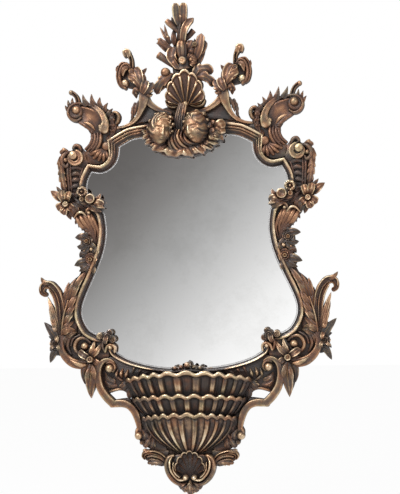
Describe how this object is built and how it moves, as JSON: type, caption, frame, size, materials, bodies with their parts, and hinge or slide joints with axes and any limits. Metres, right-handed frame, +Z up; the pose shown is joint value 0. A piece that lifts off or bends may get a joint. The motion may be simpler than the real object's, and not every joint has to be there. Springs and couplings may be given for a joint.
{
  "type": "wall mirror",
  "caption": "Tall cartouche-shaped wall mirror in a carved and gilded rococo frame with a shell and bouquet crest, cherub heads, side scrolls and a fluted basket base",
  "frame": {"origin": "on the back face of the upper wall batten, on the centre line, where the mirror lies against the wall", "axes": "+Z is up, +Y points into the wall, the mirror looks along -Y, and +X is to the viewer's right"},
  "size_m": [0.904, 0.126, 1.4696],
  "materials": {
    "pine": "old planed pine, bare",
    "silvered_glass": "silvered plate glass",
    "steel": "plain steel hanger",
    "gilt_moulding": "antique bronze gilding, dark in the hollows",
    "gilt_basket": "antique bronze gilding, rubbed on the flutes",
    "gilt_carving": "antique bronze gilding, brown glaze in the carving"
  },
  "bodies": {
    "frame": {"top_rail": "pine", "stile_left": "pine", "stile_right": "pine", "bottom_rail": "pine", "batten_upper": "pine", "batten_lower": "pine", "mirror_glass": "silvered_glass", "glazing_blocks": "pine", "backboard_upper": "pine", "backboard_lower": "pine", "backboard_screws": "steel", "hanger_strap_left": "steel", "hanger_strap_right": "steel", "hanger_screws": "steel", "sight_top": "gilt_moulding", "sight_side_left": "gilt_moulding", "sight_side_right": "gilt_moulding", "sight_waist_left": "gilt_moulding", "sight_waist_right": "gilt_moulding", "sight_bottom": "gilt_moulding", "crest_shell": "gilt_carving", "crest_bouquet": "gilt_carving", "crest_drape": "gilt_carving", "cherub_left": "gilt_carving", "cherub_right": "gilt_carving", "cherub_collar": "gilt_carving", "crest_arm_left": "gilt_carving", "crest_arm_right": "gilt_carving", "shoulder_left": "gilt_carving", "shoulder_right": "gilt_carving", "ear_left": "gilt_carving", "ear_right": "gilt_carving", "side_spray_left": "gilt_carving", "side_spray_right": "gilt_carving", "waist_leaf_left": "gilt_carving", "waist_leaf_right": "gilt_carving", "garland_left": "gilt_carving", "garland_right": "gilt_carving", "acanthus_left": "gilt_carving", "acanthus_right": "gilt_carving", "lower_scroll_left": "gilt_carving", "lower_scroll_right": "gilt_carving", "corner_spray_left": "gilt_carving", "corner_spray_right": "gilt_carving", "corner_drop_left": "gilt_carving", "corner_drop_right": "gilt_carving", "bracket_left": "gilt_carving", "bracket_right": "gilt_carving", "basket_upper": "gilt_basket", "basket_middle": "gilt_basket", "basket_lower": "gilt_basket", "pendant_shell": "gilt_carving", "pendant_leaf_left": "gilt_carving", "pendant_leaf_right": "gilt_carving"},
    "ring_left": {"hanger_ring_left": "steel"},
    "ring_right": {"hanger_ring_right": "steel"}
  },
  "joints": [
    {"name": "ring_left_swing", "type": "hinge", "parent": "frame", "child": "ring_left", "pos_m": [-0.262, -0.011, -0.022], "axis": [1, 0, 0], "range_deg": [0, 180]},
    {"name": "ring_right_swing", "type": "hinge", "parent": "frame", "child": "ring_right", "pos_m": [0.262, -0.011, -0.022], "axis": [1, 0, 0], "range_deg": [0, 180]}
  ]
}
